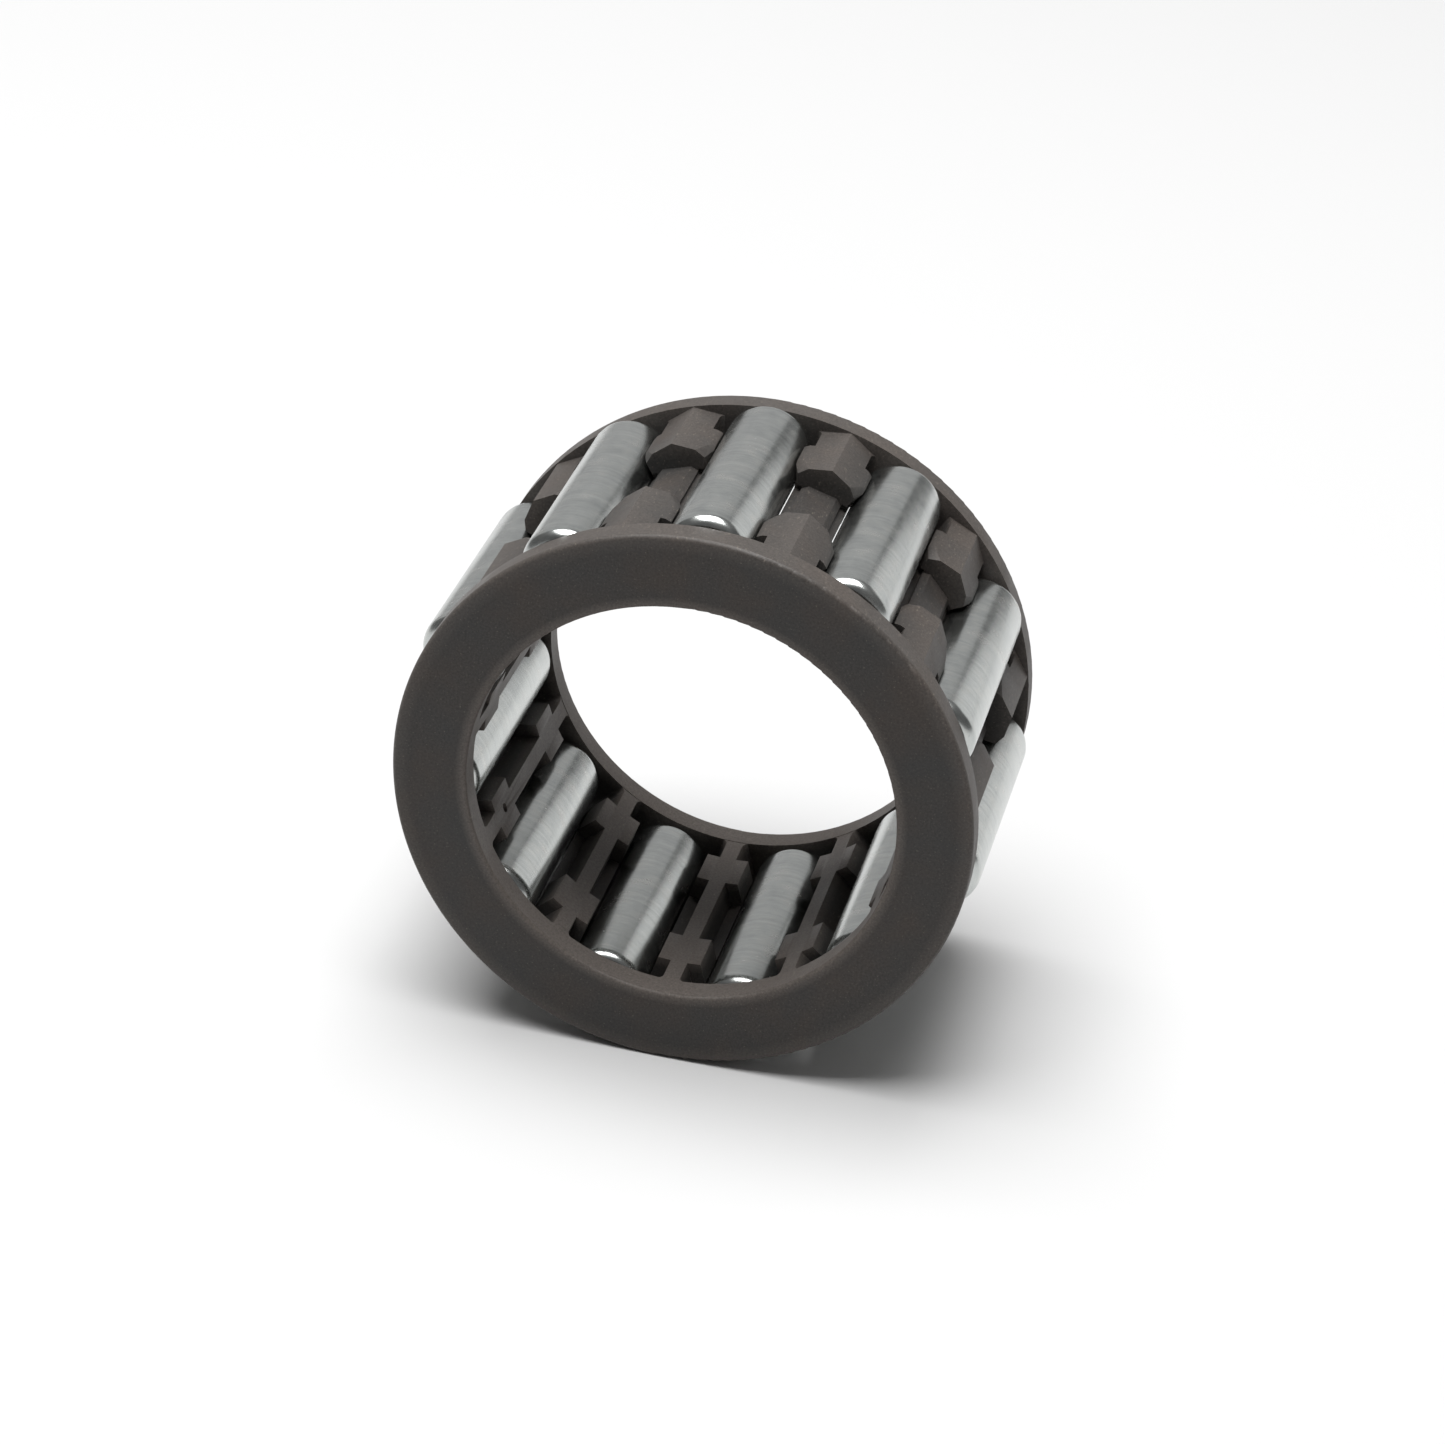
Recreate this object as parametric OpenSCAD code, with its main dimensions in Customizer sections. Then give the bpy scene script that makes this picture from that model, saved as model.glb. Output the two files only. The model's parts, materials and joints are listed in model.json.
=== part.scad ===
// Needle roller and cage assembly: one moulded cage and a set of ground rollers.
// The bearing axis runs along Y, +Z is up, and the origin is the centre of the bore
// at mid-width. Angles around the axis start at the top and turn towards +X.

/* [Rollers] */
// Number of rollers
roller_count = 11; // [9:1:12]
// Diameter of the shaft that the rollers run on
shaft_d = 20; // [17:0.5:26]
// Diameter of a roller
roller_d = 4; // [3.2:0.1:4.6]
// Length of a roller
roller_l = 13; // [10:0.5:24]
// Radius of the rounding at each roller's ends
roller_end_r = 0.55; // [0.2:0.05:0.7]

/* [Cage rings] */
// Width of each end ring along the axis
ring_w = 1.3; // [0.9:0.1:3]
// Radial gap between the shaft and the cage's bore
shaft_gap = 0.09; // [0.05:0.01:0.2]
// Depth of the cage's outside below the rollers' outer envelope
housing_gap = 0.37; // [0.3:0.01:0.6]
// Rounding of the rings' outer edges
ring_edge_r = 0.25; // [0.1:0.05:0.4]
// Rounding of the bore's edges
bore_edge_r = 0.2; // [0.1:0.05:0.4]

/* [Pockets] */
// Gap between a roller's end and the ring beside it
end_gap = 0.2; // [0.1:0.05:0.4]
// Radial gap between a roller and the surfaces that guide it
guide_gap = 0.08; // [0.05:0.01:0.12]
// Gap between a roller's side and the plain part of a web
side_gap = 0.46; // [0.3:0.02:0.6]
// How far the outer lips close over each side of a roller
lip_bite = 0.04; // [0.02:0.01:0.1]
// How far the inner ears close under each side of a roller
ear_bite = 0.15; // [0.05:0.01:0.3]
// Rounding of a pocket's corners at the rings
pocket_corner_r = 0.4; // [0.2:0.05:0.45]

/* [Webs] */
// Depth of the webs' inner faces behind the rings' bore, so that only the rings can
// rub on the shaft
web_relief = 0.02; // [0.01:0.01:0.1]
// Length of each outer boss, from its ring to the recess between the bosses
boss_l = 4.3; // [3:0.1:5]
// Depth of that recess below the cage's outside
recess_depth = 1.28; // [0.6:0.02:1.4]
// Width of the flat floor in the recess, between its two sloping sides
floor_w = 1.4; // [1.2:0.1:2]
// Slope of the floor's two sides, in degrees
floor_slope = 40; // [30:1:42]
// Depth of the bosses' ridge below the cage's outside
ridge_drop = 0.05; // [0.02:0.01:0.2]
// Slope of the bosses' two roof faces, in degrees
roof_slope = 21.8; // [10:0.1:30]
// Width across the roof faces, where the steeper brows start
roof_w = 3; // [2:0.1:3.4]
// Slope of the brows above the lips, in degrees
brow_slope = 40; // [35:1:50]
// Width across the roof faces where they end at the recess
roof_end_w = 2.1; // [1.4:0.1:2.6]
// Turn of the cut that narrows a roof face towards the recess, in degrees
corner_turn = 18; // [10:1:30]
// Tilt of that cut, in degrees
corner_tilt = 39; // [30:1:50]
// Distance from a ring to the ears beside it
ear_gap = 1.69; // [0.8:0.01:2.3]
// Length of the ears
ear_l = 2.32; // [1:0.01:2.6]
// Depth of the guide rails' top below the rollers' pitch line
rail_drop = 0.3; // [0.25:0.05:0.4]
// Height of the guide rails
rail_h = 0.6; // [0.3:0.05:0.8]
// Length over which the lips narrow towards the recess
lip_taper_l = 0.8; // [0.3:0.1:1.2]
// Amount by which each lip narrows at the recess
lip_taper = 0.26; // [0.1:0.02:0.36]
// Diameter of the mould gate's mark
gate_d = 0.45; // [0.3:0.05:0.8]
// Depth of the mould gate's mark
gate_depth = 0.15; // [0.1:0.05:0.3]

/* [Hidden] */
$fn = 96;

// Angles: one pitch from roller to roller, half a pitch from a roller to a web.
pitch_angle = 360 / roller_count;
half_pitch = pitch_angle / 2;

// Radii, all worked out from the shaft, the rollers and the named gaps.
roller_r = roller_d / 2;
pitch_r = shaft_d / 2 + roller_r;
bore_r = shaft_d / 2 + shaft_gap;
web_bore_r = bore_r + web_relief;
cage_r = pitch_r + roller_r - housing_gap;
guide_r = roller_r + guide_gap;
ridge_r = cage_r - ridge_drop;
floor_r = cage_r - recess_depth;

// Radius to which the rings and webs reach inwards before the bore is cut.
rough_r = bore_r - 0.5;

// Lengths along the axis. A pocket's cut runs a little way into the webs' ends that
// stand inside the rings, so the rings' own walls close the pocket.
wall_pass = 0.05;
pocket_l = roller_l + 2 * end_gap;
cage_w = pocket_l + 2 * ring_w;
cut_l = pocket_l + 2 * wall_pass;
recess_l = pocket_l - 2 * boss_l;
ear_end = pocket_l / 2 - ear_gap;
ear_mid = ear_end - ear_l / 2;

// Half-widths of a pocket: plain, between the ears and between the lips.
plain_half = roller_r + side_gap;
ear_half = roller_r - ear_bite;
lip_half = roller_r - lip_bite;

// Half-width of the block that a web is cut from: the distance between two pockets'
// lips at the cage's outside.
web_half = (cage_r * sin(half_pitch) - lip_half) / cos(half_pitch);

// Margin by which a cutting shape passes a face that it cuts through.
over = 1;

cage_colour = [0.24, 0.22, 0.21];
roller_colour = [0.70, 0.72, 0.72];

// Turns what is drawn in the XY plane so that its extrusion runs along Y.
module along_axis() {
    rotate([90, 0, 0]) children();
}

// Places a copy at every roller, shifted round by a part of a pitch.
module around(shift) {
    for (k = [0 : roller_count - 1]) {
        rotate([0, (k + shift) * pitch_angle, 0]) children();
    }
}

// A rectangle centred on the origin with all four corners rounded.
module rounded_rectangle(w, l, r) {
    square([w - 2 * r, l], center = true);
    square([w, l - 2 * r], center = true);
    for (x = [-1, 1], y = [-1, 1]) {
        translate([x * (w / 2 - r), y * (l / 2 - r)]) circle(r);
    }
}

// Half section of the back ring before the bore is cut.
module ring_section() {
    start = pocket_l / 2;
    side = cage_r - ring_edge_r;
    translate([rough_r, start]) square([side - rough_r, ring_w]);
    translate([side, start]) square([ring_edge_r, ring_w - ring_edge_r]);
    translate([side, cage_w / 2 - ring_edge_r]) circle(ring_edge_r);
}

module rings() {
    for (side = [0, 1]) {
        mirror([0, side, 0]) along_axis() rotate_extrude() ring_section();
    }
}

// Section of a web before its pockets are cut: a ridge, two roof faces and two brows.
module web_section() {
    edge_x = roof_w / 2;
    edge_h = ridge_r - edge_x * tan(roof_slope);
    side_h = edge_h - (web_half - edge_x) * tan(brow_slope);
    polygon([
        [-web_half, rough_r],
        [-web_half, side_h],
        [-edge_x, edge_h],
        [0, ridge_r],
        [edge_x, edge_h],
        [web_half, side_h],
        [web_half, rough_r]
    ]);
}

// Plan of a pocket where the ears stand into it.
module ear_plan() {
    far = plain_half + over;
    difference() {
        rounded_rectangle(2 * plain_half, cut_l, pocket_corner_r);
        for (side = [-1, 1], end = [-1, 1]) {
            translate([side * (ear_half + far) / 2, end * ear_mid])
                square([far - ear_half, ear_l], center = true);
        }
    }
}

// Plan of a pocket where the lips stand into it, cut back where they meet the recess.
module lip_plan() {
    far = plain_half + over;
    start = recess_l / 2;
    difference() {
        rounded_rectangle(2 * plain_half, cut_l, pocket_corner_r);
        for (side = [-1, 1], end = [-1, 1]) {
            polygon([
                [side * far, end * start],
                [side * (lip_half + lip_taper), end * start],
                [side * lip_half, end * (start + lip_taper_l)],
                [side * lip_half, end * ear_end],
                [side * far, end * ear_end]
            ]);
        }
    }
}

// Two low rails that run from ear to ear and guide the middle of the roller.
module rails() {
    inner = ear_half - wall_pass;
    for (side = [-1, 1]) {
        translate([side * (inner + over / 2), 0, pitch_r - rail_drop - rail_h / 2])
            cube([over, 2 * ear_mid, rail_h], center = true);
    }
}

// What a pocket cuts from the webs beside it, at the top: the roller's own running
// space, open inwards between the ears and outwards between the lips.
module pocket() {
    translate([0, 0, pitch_r]) along_axis() cylinder(r = guide_r, h = cut_l, center = true);
    difference() {
        linear_extrude(pitch_r) ear_plan();
        rails();
    }
    translate([0, 0, pitch_r]) linear_extrude(roller_r + over) lip_plan();
}

// Section of the recess between two bosses: a flat floor with sloping sides.
module recess_section() {
    flat_x = floor_w / 2;
    far_x = web_half + over;
    side_h = floor_r - (far_x - flat_x) * tan(floor_slope);
    polygon([
        [-far_x, cage_r],
        [-far_x, side_h],
        [-flat_x, floor_r],
        [flat_x, floor_r],
        [far_x, side_h],
        [far_x, cage_r]
    ]);
}

// Mark of the mould gate, on the front ear of one web's inner side.
module gate_mark() {
    gate_web = 7.5;
    rotate([0, gate_web * pitch_angle, 0])
        translate([0, -ear_mid, 0])
            cylinder(d = gate_d, h = bore_r + gate_depth);
}

// The bore and the rounding of its edges, as one shape to be cut away.
module bore() {
    half = cage_w / 2;
    along_axis() rotate_extrude() difference() {
        translate([0, -half - over]) square([bore_r + bore_edge_r, cage_w + 2 * over]);
        translate([bore_r, bore_edge_r - half]) square([over, cage_w - 2 * bore_edge_r]);
        for (y = [-1, 1]) {
            translate([bore_r + bore_edge_r, y * (half - bore_edge_r)]) circle(bore_edge_r);
        }
    }
}

// Cuts off a boss's corner at the recess, on the +X side of the back boss.
module corner_cut() {
    reach = 2 * roof_w;
    x = roof_end_w / 2;
    intersection() {
        translate([0, recess_l / 2, floor_r]) cube([reach, reach, reach]);
        translate([x, recess_l / 2, ridge_r - x * tan(roof_slope)])
            rotate([0, 0, -corner_turn])
                rotate([0, -corner_tilt, 0])
                    translate([0, -reach / 2, -reach / 2]) cube(reach);
    }
}

// One web, at the top, between the two pockets beside it.
module web() {
    difference() {
        along_axis() linear_extrude(pocket_l + ring_w, center = true) web_section();
        along_axis() linear_extrude(recess_l, center = true) recess_section();
        for (side = [-1, 1]) {
            rotate([0, side * half_pitch, 0]) pocket();
        }
        for (side = [0, 1], end = [0, 1]) {
            mirror([side, 0, 0]) mirror([0, end, 0]) corner_cut();
        }
    }
}

// All the webs, with their inner faces cut round.
module webs() {
    difference() {
        around(0.5) web();
        along_axis() cylinder(r = web_bore_r, h = cage_w, center = true);
        gate_mark();
    }
}

module cage() {
    color(cage_colour) {
        difference() {
            rings();
            bore();
        }
        webs();
    }
}

// Half section of a roller, from its axis to its rounded end corners.
module roller_section() {
    flat_r = roller_r - roller_end_r;
    half = roller_l / 2;
    translate([0, -half]) square([flat_r, roller_l]);
    translate([0, roller_end_r - half]) square([roller_r, roller_l - 2 * roller_end_r]);
    for (y = [-1, 1]) {
        translate([flat_r, y * (half - roller_end_r)]) circle(roller_end_r);
    }
}

// Roller number k, in its pocket.
module roller(k) {
    color(roller_colour) rotate([0, (k - 1) * pitch_angle, 0])
        translate([0, 0, pitch_r]) along_axis() rotate_extrude() roller_section();
}

cage();
for (k = [1 : roller_count]) {
    roller(k);
}
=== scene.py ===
"""Looks for a needle roller and cage assembly: a moulded polyamide cage and its ground
steel rollers. The bearing axis runs along Y, +Z is up, and all lengths are in metres."""
import json
import math

import bmesh
import bpy
from mathutils import Matrix, Vector


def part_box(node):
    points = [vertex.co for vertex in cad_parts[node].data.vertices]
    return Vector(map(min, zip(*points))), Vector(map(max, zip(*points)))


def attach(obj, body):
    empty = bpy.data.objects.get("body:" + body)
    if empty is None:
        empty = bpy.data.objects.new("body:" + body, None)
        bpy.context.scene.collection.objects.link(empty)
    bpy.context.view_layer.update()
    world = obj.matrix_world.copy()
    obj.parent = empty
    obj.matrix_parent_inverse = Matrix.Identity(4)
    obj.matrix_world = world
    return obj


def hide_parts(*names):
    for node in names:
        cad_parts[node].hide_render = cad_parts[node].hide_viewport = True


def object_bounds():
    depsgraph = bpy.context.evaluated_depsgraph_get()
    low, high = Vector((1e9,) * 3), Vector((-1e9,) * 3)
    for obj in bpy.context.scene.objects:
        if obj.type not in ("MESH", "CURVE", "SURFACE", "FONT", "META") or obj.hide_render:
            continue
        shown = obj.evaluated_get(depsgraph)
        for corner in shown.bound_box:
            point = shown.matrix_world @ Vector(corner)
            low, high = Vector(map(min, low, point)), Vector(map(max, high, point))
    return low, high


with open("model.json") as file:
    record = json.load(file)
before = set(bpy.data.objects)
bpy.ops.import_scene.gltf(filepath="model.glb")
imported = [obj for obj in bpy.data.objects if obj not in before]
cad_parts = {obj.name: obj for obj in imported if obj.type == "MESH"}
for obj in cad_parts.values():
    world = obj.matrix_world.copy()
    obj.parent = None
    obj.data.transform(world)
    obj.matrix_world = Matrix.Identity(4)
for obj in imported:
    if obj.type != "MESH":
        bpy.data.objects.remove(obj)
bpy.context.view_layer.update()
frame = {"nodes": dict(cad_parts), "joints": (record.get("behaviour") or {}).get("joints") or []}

# Shapes are made in millimetres and scaled to metres at the end.
MM = 0.001


# ---------------------------------------------------------------- helpers

def linear(hex_colour):
    """The linear RGBA colour of an sRGB hex value."""
    values = [int(hex_colour[i : i + 2], 16) / 255 for i in (1, 3, 5)]
    return [v / 12.92 if v <= 0.04045 else ((v + 0.055) / 1.055) ** 2.4 for v in values] + [1.0]


def add_node(tree, kind, settings=None, links=None):
    """A new node: settings sets its sockets by name or number and its properties,
    links feeds its sockets from other nodes' outputs."""
    node = tree.nodes.new(kind)
    for key, value in (settings or {}).items():
        if isinstance(key, int) or key in node.inputs:
            node.inputs[key].default_value = value
        else:
            setattr(node, key, value)
    for key, source in (links or {}).items():
        tree.links.new(source, node.inputs[key])
    return node


def new_material(name):
    material = bpy.data.materials.new(name)
    material.use_nodes = True
    tree = material.node_tree
    tree.nodes.clear()
    output = add_node(tree, "ShaderNodeOutputMaterial")
    return material, tree, output


def finished_piece(name, bm, material, body, node):
    """Makes the object of a bmesh that was shaped in millimetres, and puts it on its body."""
    bmesh.ops.scale(bm, vec=(MM, MM, MM), verts=bm.verts)
    mesh = bpy.data.meshes.new(name)
    bm.to_mesh(mesh)
    bm.free()
    mesh.materials.append(material)
    piece = bpy.data.objects.new(name, mesh)
    bpy.context.scene.collection.objects.link(piece)
    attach(piece, body)
    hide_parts(node)
    return piece


# ---------------------------------------------------------------- materials

def in_millimetres(tree, stretch=(1, 1, 1)):
    """Object coordinates in mm, stretched along some axes; a pattern's scale is per mm."""
    place = add_node(tree, "ShaderNodeTexCoord")
    scaled = add_node(
        tree,
        "ShaderNodeVectorMath",
        {"operation": "MULTIPLY", 1: [s / MM for s in stretch]},
        {0: place.outputs["Object"]},
    )
    return scaled.outputs[0]


def stops(tree, source, points):
    """A colour ramp fed by source, with (position, sRGB hex) points."""
    ramp = add_node(tree, "ShaderNodeValToRGB", links={"Fac": source})
    elements = ramp.color_ramp.elements
    while len(elements) < len(points):
        elements.new(0.5)
    for element, (position, colour) in zip(elements, points):
        element.position = position
        element.color = linear(colour)
    return ramp.outputs["Color"]


def moulded_polyamide():
    """Glass-filled polyamide, injection moulded: a dark warm grey, satin, with the fine
    grain of the mould wall, slow drifts of tone and short pale flecks of glass fibre."""
    material, tree, output = new_material("moulded_glass_filled_polyamide")
    place = in_millimetres(tree)
    drift = add_node(
        tree, "ShaderNodeTexNoise", {"Scale": 0.35, "Detail": 3.0, "Roughness": 0.55}, {0: place}
    )
    tone = stops(
        tree,
        drift.outputs[0],
        [(0.3, "#393837"), (0.5, "#3D3A38"), (0.72, "#443E3A")],
    )
    # Painted light: the base colour turns lighter and warmer in a band near the bore and near the
    # outer rim, standing in for light that glows through the thin edges.
    radius = add_node(
        tree, "ShaderNodeVectorMath", {"operation": "LENGTH"}, {0: in_millimetres(tree, (1, 0, 1))}
    )
    depth = add_node(
        tree, "ShaderNodeMapRange", {"From Min": 10.0, "From Max": 14.0}, {0: radius.outputs["Value"]}
    )
    painted_edge_light = stops(
        tree,
        depth.outputs[0],
        [(0.02, "#F0F0F0"), (0.16, "#000000"), (0.70, "#000000"), (0.95, "#BCBCBC")],
    )
    # Mixes in the painted edge light, a lighter warm grey, by distance from the bearing axis.
    edge_lit_tone = add_node(
        tree,
        "ShaderNodeMix",
        {"data_type": "RGBA", 7: linear("#665F5A")},
        {0: painted_edge_light, 6: tone},
    )
    # The fibres are drawn coarser than they are, so that they show at this distance.
    fibre = add_node(
        tree,
        "ShaderNodeTexNoise",
        {"Scale": 6.0, "Detail": 2.0, "Roughness": 0.6},
        {0: in_millimetres(tree, (1.6, 0.5, 1.6))},
    )
    fleck = add_node(
        tree,
        "ShaderNodeMapRange",
        {"From Min": 0.62, "From Max": 0.74, "To Min": 0.0, "To Max": 0.35},
        {0: fibre.outputs[0]},
    )
    base = add_node(
        tree,
        "ShaderNodeMix",
        {"data_type": "RGBA", 7: linear("#8A8276")},
        {0: fleck.outputs[0], 6: edge_lit_tone.outputs[2]},
    )
    sheen = add_node(
        tree,
        "ShaderNodeMapRange",
        {"From Min": 0.3, "From Max": 0.7, "To Min": 0.40, "To Max": 0.56},
        {0: drift.outputs[0]},
    )
    # The mould wall's grain is about 0.03 mm in the part and is drawn at about 0.1 mm.
    grain = add_node(
        tree, "ShaderNodeTexNoise", {"Scale": 9.0, "Detail": 4.0, "Roughness": 0.65}, {0: place}
    )
    grained = add_node(
        tree,
        "ShaderNodeMix",
        {"data_type": "RGBA", "blend_type": "MULTIPLY", 0: 1.0},
        {6: base.outputs[2], 7: stops(tree, grain.outputs[0], [(0.36, "#DADADA"), (0.6, "#FFFFFF")])},
    )
    relief = add_node(
        tree,
        "ShaderNodeBump",
        {"Strength": 0.45, "Distance": 0.012 * MM},
        {"Height": grain.outputs[0]},
    )
    shader = add_node(
        tree,
        "ShaderNodeBsdfPrincipled",
        {"IOR": 1.53, "Specular IOR Level": 0.22},
        {
            "Base Color": grained.outputs[2],
            "Roughness": sheen.outputs[0],
            "Normal": relief.outputs[0],
        },
    )
    tree.links.new(shader.outputs[0], output.inputs["Surface"])
    return material


def ground_bearing_steel():
    """Hardened bearing steel, centreless ground: a cool grey satin sheen with fine lines
    round each roller, faint cloudy patches and a few dark specks."""
    material, tree, output = new_material("ground_bearing_steel")
    # Grinding lines are far finer than this in the part; they are drawn at about 0.25 mm.
    lines = add_node(
        tree,
        "ShaderNodeTexNoise",
        {"Scale": 5.0, "Detail": 3.0, "Roughness": 0.7},
        {0: in_millimetres(tree, (0.06, 0.9, 0.06))},
    )
    cloud = add_node(
        tree,
        "ShaderNodeTexNoise",
        {"Scale": 1.1, "Detail": 4.0, "Roughness": 0.6},
        {0: in_millimetres(tree)},
    )
    speck = add_node(
        tree,
        "ShaderNodeTexNoise",
        {"Scale": 7.0, "Detail": 1.0, "Roughness": 0.5},
        {0: in_millimetres(tree)},
    )
    cloudy = stops(
        tree,
        cloud.outputs[0],
        [(0.3, "#BFC2C1"), (0.5, "#C8CBC9"), (0.7, "#D0D1CE")],
    )
    lined = add_node(
        tree,
        "ShaderNodeMix",
        {"data_type": "RGBA", "blend_type": "MULTIPLY", 0: 0.22},
        {
            6: cloudy,
            7: stops(tree, lines.outputs[0], [(0.35, "#B4B6B6"), (0.65, "#FFFFFF")]),
        },
    )
    dark = add_node(
        tree,
        "ShaderNodeMapRange",
        {"From Min": 0.75, "From Max": 0.82, "To Min": 0.0, "To Max": 0.35},
        {0: speck.outputs[0]},
    )
    base = add_node(
        tree,
        "ShaderNodeMix",
        {"data_type": "RGBA", 7: linear("#6E6E6C")},
        {0: dark.outputs[0], 6: lined.outputs[2]},
    )
    sheen = add_node(
        tree,
        "ShaderNodeMapRange",
        {"From Min": 0.3, "From Max": 0.7, "To Min": 0.21, "To Max": 0.28},
        {0: cloud.outputs[0]},
    )
    relief = add_node(
        tree,
        "ShaderNodeBump",
        {"Strength": 0.05, "Distance": 0.004 * MM},
        {"Height": lines.outputs[0]},
    )
    shader = add_node(
        tree,
        "ShaderNodeBsdfPrincipled",
        {"Metallic": 1.0},
        {
            "Base Color": base.outputs[2],
            "Roughness": sheen.outputs[0],
            "Normal": relief.outputs[0],
        },
    )
    tree.links.new(shader.outputs[0], output.inputs["Surface"])
    return material


POLYAMIDE = moulded_polyamide()
STEEL = ground_bearing_steel()

# ---------------------------------------------------------------- camera


def place_camera():
    """A long lens in front of the bearing, above it and a little to its right."""
    aim = Vector((0.11, 0.14, 0.22)) * MM
    azimuth, elevation, roll = (math.radians(a) for a in (11.154, 29.015, 4.760))
    distance = 192.43 * MM
    data = bpy.data.cameras.new("camera")
    data.lens = 101.61
    data.sensor_width = 36
    data.clip_start = 0.01
    camera = bpy.data.objects.new("camera", data)
    bpy.context.scene.collection.objects.link(camera)
    turn = Matrix.Rotation(azimuth, 4, "Z") @ Matrix.Rotation(math.pi / 2 - elevation, 4, "X")
    turn = turn @ Matrix.Rotation(roll, 4, "Z")
    camera.matrix_world = Matrix.Translation(aim) @ turn @ Matrix.Translation((0, 0, distance))
    bpy.context.scene.camera = camera


place_camera()

# ---------------------------------------------------------------- rollers

# Rounding of a roller's ends in mm, and the steps of that rounding and of the full turn.
ROUNDING = 0.55
ROUNDING_STEPS = 6
TURN_STEPS = 96


def roller(joint, number):
    """One roller, turned from its half section: flat end, rounded corner, side."""
    low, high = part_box(f"roller_{number:02d}")
    radius = (high.x - low.x) / 2 / MM
    half = (high.y - low.y) / 2 / MM
    centre = Vector(joint["pos_m"]) / MM
    bm = bmesh.new()
    outline = [Vector((0, -half, 0)), Vector((0, -half, radius - ROUNDING))]
    for i in range(1, ROUNDING_STEPS + 1):
        a = math.radians(90 * i / ROUNDING_STEPS)
        along = -half + ROUNDING * (1 - math.cos(a))
        outline.append(Vector((0, along, radius - ROUNDING * (1 - math.sin(a)))))
    outline += [Vector((0, -v.y, v.z)) for v in reversed(outline)]
    points = [bm.verts.new(v) for v in outline]
    edges = [bm.edges.new(pair) for pair in zip(points, points[1:])]
    bmesh.ops.spin(
        bm,
        geom=points + edges,
        cent=(0, 0, 0),
        axis=(0, 1, 0),
        angle=2 * math.pi,
        steps=TURN_STEPS,
        use_merge=True,
    )
    bmesh.ops.remove_doubles(bm, verts=bm.verts, dist=0.0005)
    bmesh.ops.recalc_face_normals(bm, faces=bm.faces)
    for face in bm.faces:
        face.smooth = True
    bmesh.ops.translate(bm, vec=centre, verts=bm.verts)
    name = f"roller_{number:02d}"
    finished_piece(f"ground_{name}", bm, STEEL, name, name)


for number, joint in enumerate(frame["joints"], 1):
    roller(joint, number)

# ---------------------------------------------------------------- cage


# Widths in mm: the rings' rounded corners, the softened edges, and the small steps that
# are closed first. Angles in degrees: faces closer than FLAT are one, SHARP edges soften.
RING_ROUNDING = 0.3
SOFT_EDGE = 0.06
MERGE = 0.002
SLIVER = 0.004
FLAT = 0.6
SHARP = 25


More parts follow.
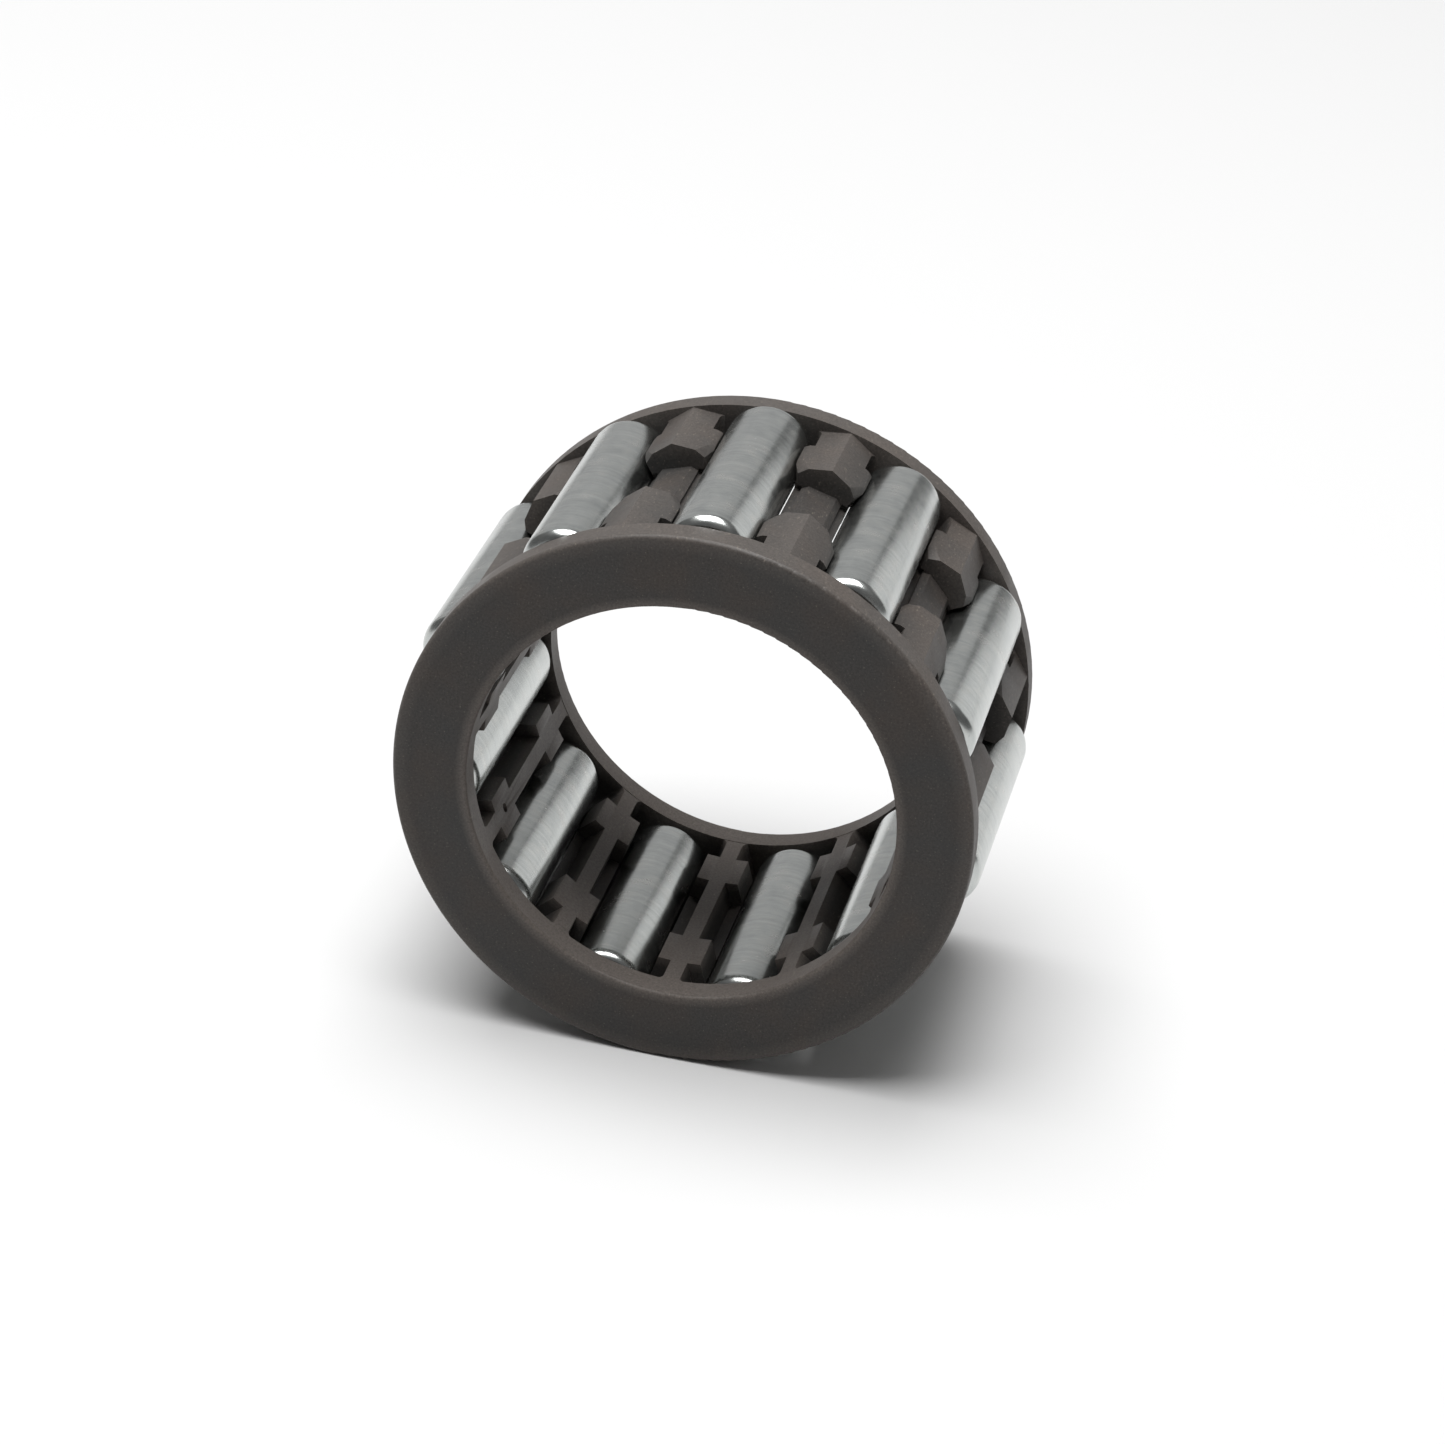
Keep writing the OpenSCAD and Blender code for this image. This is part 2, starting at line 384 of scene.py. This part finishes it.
def cage_with_soft_edges():
    """The cage's own shape, with its sharp moulded edges softened."""
    bm = bmesh.new()
    bm.from_mesh(frame["nodes"]["cage"].data)
    bmesh.ops.scale(bm, vec=(1 / MM, 1 / MM, 1 / MM), verts=bm.verts)
    bmesh.ops.remove_doubles(bm, verts=bm.verts, dist=MERGE)
    bmesh.ops.dissolve_degenerate(bm, dist=SLIVER, edges=bm.edges)
    # The rings' outer corners are rounded already, so they stay as they are.
    rounded = max(v.co.y for v in bm.verts) - RING_ROUNDING
    bmesh.ops.dissolve_limit(
        bm,
        angle_limit=math.radians(FLAT),
        verts=[v for v in bm.verts if abs(v.co.y) < rounded],
        edges=[e for e in bm.edges if max(abs(v.co.y) for v in e.verts) < rounded],
        use_dissolve_boundaries=False,
    )
    sharp = [
        e
        for e in bm.edges
        if e.is_manifold
        and e.calc_face_angle(0) > math.radians(SHARP)
        and min(abs(v.co.y) for v in e.verts) < rounded
    ]
    bmesh.ops.bevel(
        bm,
        geom=sharp,
        offset=SOFT_EDGE,
        offset_type="OFFSET",
        segments=2,
        profile=0.5,
        affect="EDGES",
        clamp_overlap=True,
        material=-1,
    )
    for face in bm.faces:
        face.smooth = True
    piece = finished_piece("moulded_cage", bm, POLYAMIDE, "cage", "cage")
    # Keeps the flat faces flat and lets only the soft edges turn the light.
    even = piece.modifiers.new("even_faces", "WEIGHTED_NORMAL")
    even.mode = "FACE_AREA"
    even.weight = 100


cage_with_soft_edges()

# ---------------------------------------------------------------- floor and light


def softbox(name, place, aim, width, height, radiance):
    """A soft rectangular light at place, turned to aim."""
    data = bpy.data.lights.new(name, "AREA")
    data.shape = "RECTANGLE"
    data.size = width
    data.size_y = height
    data.energy = radiance * math.pi * width * height
    light = bpy.data.objects.new(name, data)
    bpy.context.scene.collection.objects.link(light)
    light.location = place
    light.rotation_euler = (Vector(aim) - Vector(place)).to_track_quat("-Z", "Y").to_euler()


FLOOR_HALF = 1.5


def lay_floor():
    """A plain pale floor that the bearing stands on."""
    low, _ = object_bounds()
    bm = bmesh.new()
    bmesh.ops.create_grid(bm, x_segments=1, y_segments=1, size=FLOOR_HALF)
    bmesh.ops.translate(bm, vec=(0, 0, low.z), verts=bm.verts)
    mesh = bpy.data.meshes.new("floor")
    bm.to_mesh(mesh)
    bm.free()
    floor = bpy.data.objects.new("floor", mesh)
    bpy.context.scene.collection.objects.link(floor)
    material, tree, output = new_material("white_paper_floor")
    shader = add_node(
        tree, "ShaderNodeBsdfPrincipled", {"Base Color": linear("#C8C8C8"), "Roughness": 0.9}
    )
    tree.links.new(shader.outputs[0], output.inputs["Surface"])
    mesh.materials.append(material)


lay_floor()
# The light from above gives the bright crescents on the rollers' near ends. Between the
# two panels behind is a dark gap, which each roller shows as a stripe along its side.
softbox("overhead_softbox", (-0.06, -0.02, 0.5), (0, 0, 0), 0.40, 0.40, 10.0)
softbox("back_left_panel", (-0.234, 0.46, 0.24), (0, 0, 0), 0.90, 0.5, 0.36)
softbox("back_right_panel", (0.386, 0.348, 0.15), (0, 0, 0), 0.46, 0.44, 0.72)

world = bpy.data.worlds.new("studio")
bpy.context.scene.world = world
world.use_nodes = True
world.node_tree.nodes["Background"].inputs["Color"].default_value = (1, 1, 1, 1)
world.node_tree.nodes["Background"].inputs["Strength"].default_value = 0.12

bpy.context.scene.view_settings.view_transform = "Standard"

bpy.context.view_layer.update()
